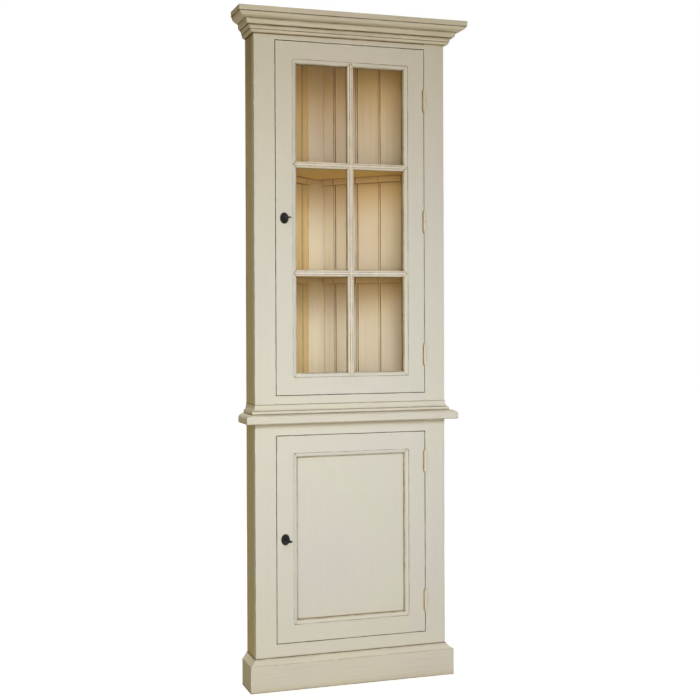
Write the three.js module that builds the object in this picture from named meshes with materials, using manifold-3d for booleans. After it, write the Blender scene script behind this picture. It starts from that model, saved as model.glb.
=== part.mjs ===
// Corner cupboard: a one-piece carcase that stands in the corner of a room, with a face frame, square
// returns and tongued boards at 45 degrees, a glazed door above and a panelled door below.
// Millimetres, +Z up, the front faces -Y. The origin is on the floor, under the middle of the outline.
import * as THREE from "three";
import { mergeVertices } from "three/addons/utils/BufferGeometryUtils.js";
import Module from "manifold-3d";

const wasm = await Module();
wasm.setup();

// Driving dimensions of the whole
const faceWidth = 660;
const totalHeight = 2200;
const returnDepth = 116; // from the face back to the wall of the room
const frameThickness = 28;
const sideThickness = 16;
const backThickness = 12;
const boardThickness = 19; // floor, middle and top boards
const seatGap = 0.3; // between pieces that touch on the real cupboard
const overrun = 5; // how far a cutter runs past what it cuts

// Face frame
const stileWidth = 70;
const bottomRailHeight = 146.5;
const middleRailHeight = 129;
const topRailHeight = 91;
const lowerOpeningHeight = 678; // the upper opening takes what is left
const tenonThickness = 8; // on the rails of the frame and of the doors
const tenonShoulder = 12;
const frameTenonLength = 45;
const doorTenonLength = 40;

// Tongued boards of the backs, and the post in the corner
const boardsPerBack = 5;
const beadWidth = 6;
const quirkWidth = 1.6;
const quirkDepth = 1.8;
const rearJointWidth = 1.6;
const rearJointDepth = 0.9;
const postFaceWidth = 60;

// Shelves and boards
const shelfThickness = 17;
const shelfClearance = 4; // behind the lock cases
const shelfDrop = 4; // underside of a display shelf below the middle of its glazing bar
const lowerShelfShare = 0.433; // of the height of the lower opening
const floorDrop = 6; // top of the floor board below the lower door opening
const middleDrop = 3; // top of the middle board below the upper door opening
const battenHeight = 20;
const battenProud = 20;
const battenCornerGap = 50; // from the inner corner, along the wall
const battenSideGap = 14;

// Plinth, waist and cornice, as projections from the face and heights
const plinthProjection = 22.5;
const plinthFaceHeight = 86.5;
const plinthBevelHeight = 16.5;
const plinthStep = 2;
const plinthTopProjection = 4;
const nosingRise = 40.5; // above the lower door opening
const nosingHeight = 30;
const nosingProjection = 36;
const nosingBevel = 3;
const nosingFlat = 14;
const nosingTopProjection = 15;
const coveHeight = 30; // with the rounded fillet that it stands on
const footFilletHeight = 10;
const footFilletProjection = 13;
const footFilletRound = 2.5;
const coveProjection = 9.8;
const coveStep = 1;
const coveFillet = 3;
const coveTopProjection = 1.8;
const fasciaHeight = 16.5;
const fasciaQuirk = 2.5;
const ovoloDepth = 25.5;
const ovoloHeight = 16;
const cavettoDepth = 3.5;
const cavettoHeight = 12;
const beadDepth = 6; // of the round under the cavetto
const beadHeight = 5.5;
const bedQuirk = 2;
const bedQuirkHeight = 3;
const bedDepth = 6.5; // of the hollow of the bed moulding
const bedHeight = 10;
const bedStep = 1.5;
const footDepth = 6.5; // of the round at its foot
const footHeight = 10;
const footProjection = 8;

// Doors
const doorGap = 2;
const doorThickness = 28;
const memberFlat = 57; // flat width of a stile or rail
const stickWidth = 14; // moulding worked on its inner edge
const stickQuirk = 1.5;
const stickDepth = 7;
const stickFillet = 2;
const grooveDepth = 6;
const grooveEase = 0.3; // each side of what stands in a groove
const edgeEase = 1; // between that piece and the bottom of its groove
const backBevel = 3;
const paneThickness = 3;
const paneLip = 2.7; // behind the groove for the glass
const panelThickness = 9;
const panelLip = 5; // before the panel, behind the moulding
const barWidth = 20;
const barFace = 7; // flat front of a glazing bar
const barSetback = 1.5; // front of a bar behind the face of the door
const barHeightShares = [0.3235, 0.675]; // of the height of the glazed opening

// Hinges that lift off, with slim barrels proud of the face
const barrelRadius = 4.4;
const barrelLength = 66;
const finialLength = 7;
const finialRadius = 2.7;
const finialNeck = 2.4;
const pinRadius = 2.2;
const pinEase = 0.3;
const pinLength = 26;
const leafThickness = 1.5;
const leafWidth = 24;
const leafHeight = 62;
const leafEase = 0.3;
const upperHingeShares = [0.11, 0.498, 0.851]; // of the height of the door
const lowerHingeShares = [0.155, 0.851];

// Locks and keys
const keyInset = 28.5; // key axis from the free edge of the door
const keyShankRadius = 2.4;
const keyEnd = 9; // end of the shank behind the inner face of the door
const keyReach = 52; // end of the bow in front of the face of the door
const bowRadius = 9.6;
const bowWire = 2.5;
const bowDepthShare = 0.86; // depth of the bow to its width
const collarRadius = 4.2;
const collarWidth = 2.6;
const collarStandoff = 9; // collar in front of the face of the door
const bitLength = 9;
const bitThickness = 2.4;
const bitWidth = 4;
const escutcheonWidth = 28;
const escutcheonHeight = 36;
const escutcheonRise = 3.4;
const escutcheonRim = 1;
const keyholeRadius = 3;
const keyholeSlot = 3.4;
const keyholeDrop = 10;
const caseWidth = 50;
const caseHeight = 46;
const caseDepth = 14;
const caseWall = 1.6;
const caseInset = 3; // from the free edge of the door
const boltHeight = 12;
const boltThickness = 5;
const boltTailGap = 8; // between the tail of the bolt and the wall of its case
const boltTravel = 12;
const boltInset = 1.5; // nose of the bolt inside the free edge of the door
const boltLift = 3.4; // lower edge of the bolt above the key axis
const boltSetback = 1.2; // front of the bolt behind the inner face of the door
const talonWidth = 10.6; // notch that the bit of the key works in
const talonHeight = 7.2;
const windowEase = 0.4;

// Facets
const curveSteps = 6;
const beadSteps = 4;
const finialSteps = 3;
const barrelSides = 16;
const bowSides = 24;
const wireSides = 8;
const ovalSides = 32;
const domeSteps = 5;
const weld = 1e-4;

// Sizes and places that follow
const quarterTurn = Math.PI / 2;
const diagonal = Math.SQRT2;
const halfFace = faceWidth / 2;
const halfOpening = halfFace - stileWidth;
const halfInside = halfFace - sideThickness;
const doorHalf = halfOpening - doorGap;
const lowerOpeningTop = bottomRailHeight + lowerOpeningHeight;
const upperOpeningBottom = lowerOpeningTop + middleRailHeight;
const upperOpeningTop = totalHeight - topRailHeight;
const nosingBottom = lowerOpeningTop + nosingRise;
const nosingTop = nosingBottom + nosingHeight;
const coveTop = nosingTop + coveHeight;
const fasciaBottom = totalHeight - fasciaHeight;
const cavettoTop = fasciaBottom - ovoloHeight;
const cavettoBottom = cavettoTop - cavettoHeight;
const bedTop = cavettoBottom - beadHeight - bedQuirkHeight;
const corniceBottom = bedTop - bedHeight - footHeight;
const bedProjection = footProjection + footDepth + bedStep;
const beadProjection = bedProjection + bedDepth + bedQuirk;
const cavettoProjection = beadProjection + beadDepth;
const ovoloProjection = cavettoProjection + cavettoDepth;
const corniceProjection = ovoloProjection + ovoloDepth + fasciaQuirk;
const apexY = returnDepth + halfFace; // where the outer faces of the backs meet
const innerApexY = apexY - backThickness * diagonal;
const clearApexY = innerApexY - seatGap * diagonal; // for what fits between the backs
const backLength = halfInside * diagonal; // inner face of a back, from the corner to the side
const middleY = (corniceProjection - apexY) / 2; // brings the outline over the origin
const postFrontY = innerApexY - postFaceWidth / 2;
const hingeX = halfOpening - doorGap / 2;
const hingeY = -barrelRadius - seatGap;
const leafDepth = seatGap / 2 + leafThickness - doorGap / 2; // how far a leaf is let into the wood
const keyX = keyInset - doorHalf;
const paneFront = doorThickness - backBevel - paneLip - grooveEase - paneThickness;
const panelFront = stickDepth + panelLip;
const boltFront = doorThickness + boltSetback;
const boltBack = boltFront + boltThickness;
const shelfFront = doorThickness + seatGap + caseDepth + shelfClearance;

const upperDoor = { bottom: upperOpeningBottom + doorGap, top: upperOpeningTop - doorGap };
const lowerDoor = { bottom: bottomRailHeight + doorGap, top: lowerOpeningTop - doorGap };

function heightsAt(shares, { bottom, top }) {
  return shares.map((share) => bottom + share * (top - bottom));
}

const upperHingeHeights = heightsAt(upperHingeShares, upperDoor);
const lowerHingeHeights = heightsAt(lowerHingeShares, lowerDoor);

// Where the mouldings of a door leave off, and the pane or panel shows
function sightOf(door) {
  const inset = memberFlat + stickWidth;
  return { half: doorHalf - inset, bottom: door.bottom + inset, top: door.top - inset };
}

const glazed = sightOf(upperDoor);
const barHeights = heightsAt(barHeightShares, glazed);

// Paints, wood and metals
const finishes = {
  cream: { color: 0xd6cfbe, roughness: 0.5, metalness: 0 },
  inside: { color: 0xc09a62, roughness: 0.6, metalness: 0 },
  iron: { color: 0x1d1b19, roughness: 0.45, metalness: 0.8 },
  steel: { color: 0x8c8780, roughness: 0.4, metalness: 0.9 },
  glass: { color: 0xe9f0ec, roughness: 0.03, metalness: 0, transparent: true, opacity: 0.2 },
};

function addMesh(group, name, geometry, finish) {
  const mesh = new THREE.Mesh(geometry, new THREE.MeshStandardMaterial(finishes[finish]));
  mesh.name = name;
  group.add(mesh);
  return mesh;
}

// Closed surfaces: shared corners are merged, flat triangles dropped and faces turned outwards
function closed(geometry) {
  const bare = geometry.clone();
  bare.deleteAttribute("normal");
  bare.deleteAttribute("uv");
  const merged = mergeVertices(bare, weld);
  const position = merged.attributes.position;
  const corners = [0, 1, 2].map(() => new THREE.Vector3());
  const faces = [];
  let volume = 0;
  for (let i = 0; i < merged.index.count; i += corners.length) {
    const face = corners.map((corner, k) => merged.index.getX(i + k));
    if (new Set(face).size === corners.length) {
      corners.forEach((corner, k) => corner.fromBufferAttribute(position, face[k]));
      volume += corners[0].dot(corners[1].clone().cross(corners[2]));
      faces.push(face);
    }
  }
  merged.setIndex((volume < 0 ? faces.map((face) => face.reverse()) : faces).flat());
  merged.computeVertexNormals();
  return merged;
}

function toSolid(geometry) {
  const shell = closed(geometry);
  const vertProperties = new Float32Array(shell.attributes.position.array);
  const triVerts = new Uint32Array(shell.index.array);
  return new wasm.Manifold(new wasm.Mesh({ numProp: 3, vertProperties, triVerts }));
}

function toGeometry(solid) {
  const mesh = solid.getMesh();
  const geometry = new THREE.BufferGeometry();
  geometry.setAttribute("position", new THREE.BufferAttribute(mesh.vertProperties, mesh.numProp));
  geometry.setIndex(new THREE.BufferAttribute(mesh.triVerts, 1));
  geometry.computeVertexNormals();
  return geometry;
}

function unite(...geometries) {
  return toGeometry(geometries.map(toSolid).reduce((whole, piece) => whole.add(piece)));
}

function cut(geometry, ...cutters) {
  const solids = cutters.map(toSolid);
  return toGeometry(solids.reduce((rest, cutter) => rest.subtract(cutter), toSolid(geometry)));
}

// The box between two opposite corners
function boxBetween(low, high) {
  const size = high.map((value, axis) => value - low[axis]);
  const box = new THREE.BoxGeometry(...size);
  return box.translate(...low.map((value, axis) => value + size[axis] / 2));
}

// A section in X and Y, drawn out along Z from 0
function drawnOut(section, length) {
  const shape = new THREE.Shape(section.map(([x, y]) => new THREE.Vector2(x, y)));
  return closed(new THREE.ExtrudeGeometry(shape, { depth: length, bevelEnabled: false }));
}

// The same piece laid down: its width goes up, or down, and its length along X
function laidAlongX(geometry, widthGoesUp = true) {
  const way = widthGoesUp ? 1 : -1;
  const turn = new THREE.Matrix4().set(0, 0, 1, 0, 0, 1, 0, 0, way, 0, 0, 0, 0, 0, 0, 1);
  return closed(geometry.clone().applyMatrix4(turn));
}

function mirroredX(geometry) {
  return closed(geometry.clone().scale(-1, 1, 1));
}

// A turned piece from its radii and heights, on the Z axis
function turned(profile, sides) {
  const points = profile.map(([radius, z]) => new THREE.Vector2(Math.max(radius, 0), z));
  return closed(new THREE.LatheGeometry(points, sides).rotateX(quarterTurn));
}

// Points along part of an ellipse
function arc(centreX, centreY, radiusX, radiusY, from, to, steps = curveSteps) {
  return Array.from({ length: steps + 1 }, (_, i) => {
    const angle = from + ((to - from) * i) / steps;
    return [centreX + radiusX * Math.cos(angle), centreY + radiusY * Math.sin(angle)];
  });
}

// Recesses for hinge leaves in an upright edge, on its side towards +X or -X
function hingeRecesses(edgeX, way, hingeHeights) {
  const ends = [edgeX - way * overrun, edgeX + way * (leafDepth + leafEase)].sort((a, b) => a - b);
  const half = leafHeight / 2 + leafEase;
  return hingeHeights.map((height) =>
    boxBetween([ends[0], -overrun, height - half], [ends[1], leafWidth + leafEase, height + half]),
  );
}

// A tenon towards +X in the middle of a thickness or, with an ease, the mortise that takes it
function tenon(start, end, thickness, [low, high], ease = 0) {
  const front = (thickness - tenonThickness) / 2;
  return boxBetween([start, front - ease, low - ease], [end + ease, thickness - front + ease, high + ease]);
}

// Carcase

const frameRails = {
  bottom: [0, bottomRailHeight],
  middle: [lowerOpeningTop, upperOpeningBottom],
  top: [upperOpeningTop, totalHeight],
};

function tenonHeights([bottom, top]) {
  return [bottom + tenonShoulder, top - tenonShoulder];
}

function makeFrameStile() {
  const stile = boxBetween([halfOpening, 0, 0], [halfFace, frameThickness, totalHeight]);
  const end = halfOpening + frameTenonLength;
  const mortises = Object.values(frameRails).map((heights) =>
    tenon(halfOpening - overrun, end, frameThickness, tenonHeights(heights), seatGap),
  );
  return cut(stile, ...mortises);
}

function makeFrameRail([bottom, top]) {
  const half = halfOpening - seatGap;
  const end = halfOpening + frameTenonLength;
  const rail = boxBetween([-half, 0, bottom], [half, frameThickness, top]);
  const tongue = tenon(half - overrun, end, frameThickness, tenonHeights([bottom, top]));
  return unite(rail, tongue, mirroredX(tongue));
}

// The right back: five beaded boards. Its section is drawn along the wall from the outer corner,
// and inwards, with both ends cut square to the room: at the corner and flush with the side.
function makeBack() {
  const pitch = backLength / boardsPerBack;
  const face = backThickness;
  const cornerEnd = (seatGap / 2) * diagonal;
  const sideEnd = halfFace * diagonal;
  const joints = Array.from({ length: boardsPerBack - 1 }, (_, i) => backThickness + pitch * (i + 1));
  const rear = joints.flatMap((joint) => [
    [joint - rearJointWidth / 2, 0],
    [joint, rearJointDepth],
    [joint + rearJointWidth / 2, 0],
  ]);
  const front = joints.reverse().flatMap((joint) => {
    const bead = joint - (quirkWidth + beadWidth) / 2;
    return [
      [joint + quirkWidth / 2, face],
      [joint, face - quirkDepth],
      ...arc(bead, face - quirkDepth, beadWidth / 2, quirkDepth, 0, Math.PI, beadSteps),
      [bead - (beadWidth + quirkWidth) / 2, face],
    ];
  });
  const section = [
    [cornerEnd, 0],
    ...rear,
    [sideEnd, 0],
    [sideEnd + face, face],
    ...front,
    [cornerEnd + face, face],
  ];
  const plan = section.map(([along, inward]) => [
    (along - inward) / diagonal,
    apexY - (along + inward) / diagonal,
  ]);
  return drawnOut(plan, totalHeight);
}

function makeSide() {
  const front = frameThickness + seatGap;
  const plan = [
    [halfInside, front],
    [halfFace, front],
    [halfFace, clearApexY - halfFace],
    [halfInside, clearApexY - halfInside],
  ];
  return drawnOut(plan, totalHeight);
}

function makePost() {
  const half = clearApexY - postFrontY;
  const plan = [
    [-half, postFrontY],
    [half, postFrontY],
    [0, clearApexY],
  ];
  return drawnOut(plan, totalHeight);
}

// Floor, shelves and top share one outline, clear of the sides, the backs and the post
function makeBoard(front, thickness) {
  const half = halfInside - seatGap;
  const rear = postFrontY - seatGap;
  const plan = [
    [-half, front],
    [half, front],
    [half, clearApexY - half],
    [clearApexY - rear, rear],
    [rear - clearApexY, rear],
    [-half, clearApexY - half],
  ];
  return drawnOut(plan, thickness);
}

// Battens under a shelf, one along each back
function addBattens(group, name, shelfBottom) {
  const reach = backLength - battenSideGap;
  for (const side of [1, -1]) {
    const depths = [-side * seatGap, -side * (seatGap + battenProud)].sort((a, b) => a - b);
    const batten = boxBetween(
      [battenCornerGap, depths[0], -seatGap - battenHeight],
      [reach, depths[1], -seatGap],
    );
    const mesh = addMesh(group, `${name}_batten_${side > 0 ? "right" : "left"}`, batten, "inside");
    mesh.position.set(0, innerApexY, shelfBottom);
    mesh.rotation.z = side > 0 ? -quarterTurn / 2 : (-quarterTurn * 3) / 2;
  }
}

// A moulding mitred round both corners of the face. Its section is a list of projections and
// heights, and each end lies against the wall of the room.
function makeMoulding(section) {
  const places = (projection) => [
    [-halfFace - projection, returnDepth - projection],
    [-halfFace - projection, -projection],
    [halfFace + projection, -projection],
    [halfFace + projection, returnDepth - projection],
  ];
  const runs = places(0).length - 1;
  const count = section.length;
  const positions = [];
  for (let station = 0; station <= runs; station++) {
    section.forEach(([projection, z]) => positions.push(...places(projection)[station], z));
  }
  const index = [];
  for (let run = 0; run < runs; run++) {
    for (let i = 0; i < count; i++) {
      const a = run * count + i;
      const b = run * count + ((i + 1) % count);
      index.push(a, a + count, b, b, a + count, b + count);
    }
  }
  const contour = section.map(([projection, z]) => new THREE.Vector2(projection, z));
  for (const [a, b, c] of capFaces(contour)) {
    index.push(a, b, c, runs * count + a, runs * count + c, runs * count + b);
  }
  const geometry = new THREE.BufferGeometry();
  geometry.setAttribute("position", new THREE.Float32BufferAttribute(positions, 3));
  geometry.setIndex(index);
  return closed(geometry);
}

// Triangles over an outline, turned against the faces along the run
function capFaces(contour) {
  const faces = THREE.ShapeUtils.triangulateShape(contour, []);
  return THREE.ShapeUtils.isClockWise(contour) ? faces.map((face) => face.reverse()) : faces;
}

function plinthSection() {
  const plinthTop = plinthFaceHeight + plinthBevelHeight;
  return [
    [seatGap, 0],
    [plinthProjection, 0],
    [plinthProjection, plinthFaceHeight],
    [plinthProjection - plinthStep, plinthFaceHeight],
    [plinthTopProjection, plinthTop - plinthStep],
    [plinthTopProjection, plinthTop],
    [seatGap, plinthTop],
  ];
}

function nosingSection() {
  const roundBottom = nosingBottom + nosingBevel + nosingFlat;
  const roundDepth = nosingProjection - nosingTopProjection;
  const roundHeight = nosingTop - roundBottom;
  return [
    [seatGap, nosingBottom],
    [nosingProjection - nosingBevel, nosingBottom],
    [nosingProjection, nosingBottom + nosingBevel],
    ...arc(nosingTopProjection, roundBottom, roundDepth, roundHeight, 0, quarterTurn),
    [seatGap, nosingTop],
  ];
}

function coveSection() {
  const bottom = nosingTop + seatGap;
  const filletTop = bottom + footFilletHeight;
  const roundX = footFilletProjection - footFilletRound;
  const roundZ = filletTop - footFilletRound;
  const hollowTop = coveTop - coveFillet;
  const depth = coveProjection - coveTopProjection;
  const height = hollowTop - filletTop - coveStep;
  return [
    [seatGap, bottom],
    [footFilletProjection, bottom],
    ...arc(roundX, roundZ, footFilletRound, footFilletRound, 0, quarterTurn, beadSteps),
    [coveProjection, filletTop],
    ...arc(coveProjection, hollowTop, depth, height, -quarterTurn, -Math.PI),
    [coveTopProjection, coveTop],
    [seatGap, coveTop],
  ];
}

function corniceSection() {
  const bedBottom = bedTop - bedHeight;
  const beadBottom = cavettoBottom - beadHeight;
  return [
    [seatGap, corniceBottom],
    ...arc(footProjection, bedBottom, footDepth, footHeight, -quarterTurn, 0, beadSteps),
    ...arc(bedProjection + bedDepth, bedBottom, bedDepth, bedHeight, Math.PI, quarterTurn),
    [bedProjection + bedDepth, beadBottom],
    ...arc(beadProjection, cavettoBottom, beadDepth, beadHeight, -quarterTurn, 0, beadSteps),
    ...arc(ovoloProjection, cavettoBottom, cavettoDepth, cavettoHeight, Math.PI, quarterTurn, beadSteps).slice(1),
    ...arc(ovoloProjection, fasciaBottom, ovoloDepth, ovoloHeight, -quarterTurn, 0).slice(1),
    [corniceProjection, fasciaBottom],
    [corniceProjection, totalHeight],
    [seatGap, totalHeight],
  ];
}

// Doors

// Section of a stile or rail: across its width from the outer edge, and back from its face
function memberSection(grooveFront, grooveBack) {
  const sight = memberFlat + stickWidth;
  const ovoloWidth = stickWidth - stickFillet;
  return [
    [0, 0],
    [memberFlat, 0],
    ...arc(memberFlat, stickDepth, ovoloWidth, stickDepth - stickQuirk, -quarterTurn, 0),
    [sight, stickDepth],
    [sight, grooveFront],
    [sight - grooveDepth, grooveFront],
    [sight - grooveDepth, grooveBack],
    [sight, grooveBack],
    [sight, doorThickness - backBevel],
    [sight - backBevel, doorThickness],
    [0, doorThickness],
  ];
}

// Section of a glazing bar about its middle, with a groove each side for the glass
function barSection(grooveFront, grooveBack) {
  const half = barWidth / 2;
  const face = barFace / 2;
  const web = half - grooveDepth;
  const ovoloHeight = stickDepth - barSetback - stickQuirk;
  const right = [
    [face, barSetback],
    ...arc(face, stickDepth, half - face, ovoloHeight, -quarterTurn, 0),
    [half, grooveFront],
    [web, grooveFront],
    [web, grooveBack],
    [half, grooveBack],
    [half, doorThickness - backBevel],
    [half - backBevel, doorThickness],
  ];
  return [...right, ...right.map(([x, y]) => [-x, y]).reverse()];
}

// Copies of a piece moved off by the seat gap, so that what they cut stays clear of it
function eased(geometry, x, z) {
  return [-seatGap, seatGap].map((y) => geometry.clone().translate(x, y, z));
}

// Two stiles, and two rails tenoned into them and scribed over their mouldings
function makeDoorFrame(door, section) {
  const height = door.top - door.bottom;
  const shoulder = doorHalf - memberFlat - seatGap;
  const sight = sightOf(door).half;
  const stile = drawnOut(section, height).translate(-doorHalf, 0, door.bottom);
  const longStile = drawnOut(section, height + overrun * 2).translate(-doorHalf, 0, door.bottom - overrun);
  const scribes = [...eased(longStile, seatGap, 0), ...eased(mirroredX(longStile), -seatGap, 0)];
  const rail = drawnOut(section, shoulder * 2).translate(0, 0, -shoulder);
  const railTenons = {
    bottom: [door.bottom + tenonShoulder, door.bottom + memberFlat],
    top: [door.top - memberFlat, door.top - tenonShoulder],
  };
  const finished = (blank, heights) => {
    const tongue = tenon(sight - stickWidth, sight + doorTenonLength, doorThickness, heights);
    return unite(cut(blank, ...scribes), tongue, mirroredX(tongue));
  };
  const mortises = Object.values(railTenons).map((heights) =>
    tenon(sight - overrun, sight + doorTenonLength, doorThickness, heights, seatGap),
  );
  const right = cut(mirroredX(stile), ...mortises);
  return {
    scribes,
    left: mirroredX(right),
    right,
    bottomRail: finished(laidAlongX(rail).translate(0, 0, door.bottom), railTenons.bottom),
    topRail: finished(laidAlongX(rail, false).translate(0, 0, door.top), railTenons.top),
  };
}

// The crossing bars, halved into each other and scribed over the mouldings round them
function makeBars(frame, section) {
  const reach = stickWidth + overrun;
  const height = glazed.top - glazed.bottom + reach * 2;
  const half = glazed.half + reach;
  const upright = drawnOut(section, height).translate(0, 0, glazed.bottom - reach);
  const level = laidAlongX(drawnOut(section, half * 2)).translate(-half, 0, 0);
  const lattice = unite(upright, ...barHeights.map((z) => level.clone().translate(0, 0, z)));
  return cut(
    lattice,
    ...frame.scribes,
    ...eased(frame.bottomRail, 0, seatGap),
    ...eased(frame.topRail, 0, -seatGap),
  );
}

function addPanes(group) {
  const bite = grooveDepth - edgeEase;
  const halfBar = barWidth / 2;
  const [low, high] = barHeights;
  const columns = {
    left: [-glazed.half - bite, bite - halfBar],
    right: [halfBar - bite, glazed.half + bite],
  };
  const rows = {
    bottom: [glazed.bottom - bite, low - halfBar + bite],
    middle: [low + halfBar - bite, high - halfBar + bite],
    top: [high + halfBar - bite, glazed.top + bite],
  };
  for (const [row, [bottom, top]] of Object.entries(rows)) {
    for (const [column, [left, right]] of Object.entries(columns)) {
      const pane = boxBetween([left, paneFront, bottom], [right, paneFront + paneThickness, top]);
      addMesh(group, `pane_${row}_${column}`, pane, "glass");
    }
  }
}

function makePanel() {
  const bite = grooveDepth - edgeEase;
  const sight = sightOf(lowerDoor);
  return boxBetween(
    [-sight.half - bite, panelFront, sight.bottom - bite],
    [sight.half + bite, panelFront + panelThickness, sight.top + bite],
  );
}

// The keyhole runs right through, round at the top with a slot below
function keyholeAt(keyZ) {
  const length = doorThickness + overrun * 4;
  const round = new THREE.CylinderGeometry(keyholeRadius, keyholeRadius, length, barrelSides);
  const slot = boxBetween([-keyholeSlot / 2, -length / 2, -keyholeDrop], [keyholeSlot / 2, length / 2, 0]);
  return unite(round, slot).translate(keyX, doorThickness / 2, keyZ);
}

// Hinges, each about its own axis with z = 0 where the two knuckles meet

function finial(way) {
  const rim = barrelLength / 2;
  const neck = rim + finialNeck;
  const tip = finialLength - finialNeck;
  const points = [
    [barrelRadius, rim],
    [finialRadius, neck - finialNeck / 2],
    ...arc(0, neck, finialRadius, tip, 0, quarterTurn, finialSteps),
  ];
  return points.map(([radius, z]) => [radius, way * z]);
}

// The leaf lies beside the door edge, and its web joins it to the knuckle
function leafWithWeb(side, webBottom, webTop) {
  const near = seatGap / 2;
  const xs = [side * near, side * (near + leafThickness)].sort((a, b) => a - b);
  const half = leafHeight / 2;
  const webY = (barrelRadius + pinRadius + pinEase) / 2;
  const leaf = boxBetween([xs[0], -hingeY, -half], [xs[1], leafWidth - hingeY, half]);
  const web = boxBetween([xs[0], webY, webBottom], [xs[1], leafEase - hingeY, webTop]);
  return unite(leaf, web);
}

function makeDoorHinge() {
  const bore = pinRadius + pinEase;
  const boreTop = pinLength + pinEase;
  const meet = seatGap / 2;
  const knuckle = turned(
    [...finial(1).reverse(), [barrelRadius, meet], [bore, meet], [bore, boreTop], [0, boreTop]],
    barrelSides,
  );
  return unite(knuckle, leafWithWeb(-1, meet + leafEase, leafHeight / 2));
}

function makeFrameHinge() {
  const meet = -seatGap / 2;
  const pin = [
    [0, pinLength],
    [pinRadius, pinLength],
    [pinRadius, meet],
    [barrelRadius, meet],
  ];
  const knuckle = turned([...pin, ...finial(-1)], barrelSides);
  return unite(knuckle, leafWithWeb(1, -leafHeight / 2, meet - leafEase));
}

// Locks, each about the key axis, with y = 0 on the face of the door

function makeEscutcheon() {
  const radius = escutcheonWidth / 2;
  const dome = arc(0, escutcheonRim, radius, escutcheonRise - escutcheonRim, quarterTurn, 0, domeSteps);
  const oval = turned([...dome, [radius, 0], [0, 0]], ovalSides);
  oval.rotateX(quarterTurn).scale(1, 1, escutcheonHeight / escutcheonWidth);
  return closed(oval).translate(0, -seatGap, 0);
}

function makeKey() {
  const bowDepth = (bowRadius + bowWire) * bowDepthShare;
  const bowY = bowDepth - keyReach;
  const bow = new THREE.TorusGeometry(bowRadius, bowWire, wireSides, bowSides);
  bow.scale(1, bowDepthShare, 1).translate(0, bowY, 0);
  const start = bowY + bowRadius * bowDepthShare;
  const collar = -collarStandoff;
  const end = doorThickness + keyEnd;
  const profile = [
    [0, start],
    [keyShankRadius, start],
    [keyShankRadius, collar - collarWidth],
    [collarRadius, collar - collarWidth],
    [collarRadius, collar],
    [keyShankRadius, collar],
    [keyShankRadius, end],
    [0, end],
  ];
  const shank = turned(profile, barrelSides).rotateX(-quarterTurn);
  const middle = (boltFront + boltBack) / 2;
  const bit = boxBetween(
    [0, middle - bitWidth / 2, -bitThickness / 2],
    [bitLength, middle + bitWidth / 2, bitThickness / 2],
  );
  return unite(shank, bow, bit);
}

function makeBolt() {
  const nose = boltInset - keyInset;
  const tail = caseInset + caseWidth - caseWall - boltTailGap - keyInset;
  const bar = boxBetween([nose, boltFront, boltLift], [tail, boltBack, boltLift + boltHeight]);
  const middle = boltTravel / 2;
  const talon = boxBetween(
    [middle - talonWidth / 2, boltFront - overrun, boltLift - overrun],
    [middle + talonWidth / 2, boltBack + overrun, boltLift + talonHeight],
  );
  return cut(bar, talon);
}

// A case open to the door, with a window for the bolt
function makeCase() {
  const left = caseInset - keyInset;
  const right = left + caseWidth;
  const front = doorThickness + seatGap;
  const back = front + caseDepth;
  const half = caseHeight / 2;
  const shell = boxBetween([left, front, -half], [right, back, half]);
  const hollow = boxBetween(
    [left + caseWall, front - overrun, caseWall - half],
    [right - caseWall, back - caseWall, half - caseWall],
  );
  const window = boxBetween(
    [left - overrun, boltFront - windowEase, boltLift - windowEase],
    [left + caseWall + overrun, boltBack + windowEase, boltLift + boltHeight + windowEase],
  );
  return cut(shell, hollow, window);
}

// Assembly

function addCarcase(group) {
  const hinges = [...upperHingeHeights, ...lowerHingeHeights];
  const hung = cut(makeFrameStile(), ...hingeRecesses(halfOpening, 1, hinges));
  addMesh(group, "frame_stile_left", mirroredX(makeFrameStile()), "cream");
  addMesh(group, "frame_stile_right", hung, "cream");
  for (const [place, heights] of Object.entries(frameRails)) {
    addMesh(group, `frame_rail_${place}`, makeFrameRail(heights), "cream");
  }
  addMesh(group, "side_right", makeSide(), "cream");
  addMesh(group, "side_left", mirroredX(makeSide()), "cream");
  addMesh(group, "back_right", makeBack(), "inside");
  addMesh(group, "back_left", mirroredX(makeBack()), "inside");
  addMesh(group, "corner_post", makePost(), "inside");
  addMesh(group, "plinth", makeMoulding(plinthSection()), "cream");
  addMesh(group, "waist_nosing", makeMoulding(nosingSection()), "cream");
  addMesh(group, "waist_cove", makeMoulding(coveSection()), "cream");
  addMesh(group, "cornice", makeMoulding(corniceSection()), "cream");
}

function addBoards(group) {
  const boardTops = {
    floor_board: bottomRailHeight - floorDrop,
    middle_board: upperOpeningBottom - middleDrop,
    top_board: totalHeight,
  };
  for (const [name, top] of Object.entries(boardTops)) {
    const board = addMesh(group, name, makeBoard(frameThickness + seatGap, boardThickness), "inside");
    board.position.z = top - boardThickness;
  }
  const shelfBottoms = {
    shelf_lower: bottomRailHeight + lowerShelfShare * lowerOpeningHeight - shelfThickness,
    shelf_middle: barHeights[0] - shelfDrop,
    shelf_upper: barHeights[1] - shelfDrop,
  };
  for (const [name, bottom] of Object.entries(shelfBottoms)) {
    const shelf = addMesh(group, name, makeBoard(shelfFront, shelfThickness), "inside");
    shelf.position.z = bottom;
    addBattens(group, name, bottom);
  }
}

function addHinges(group, name, heights) {
  heights.forEach((height, i) => {
    for (const [half, geometry] of Object.entries({ frame: makeFrameHinge(), door: makeDoorHinge() })) {
      const mesh = addMesh(group, `${name}_hinge_${i + 1}_${half}`, geometry, "cream");
      mesh.position.set(hingeX, hingeY, height);
    }
  });
}

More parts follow.
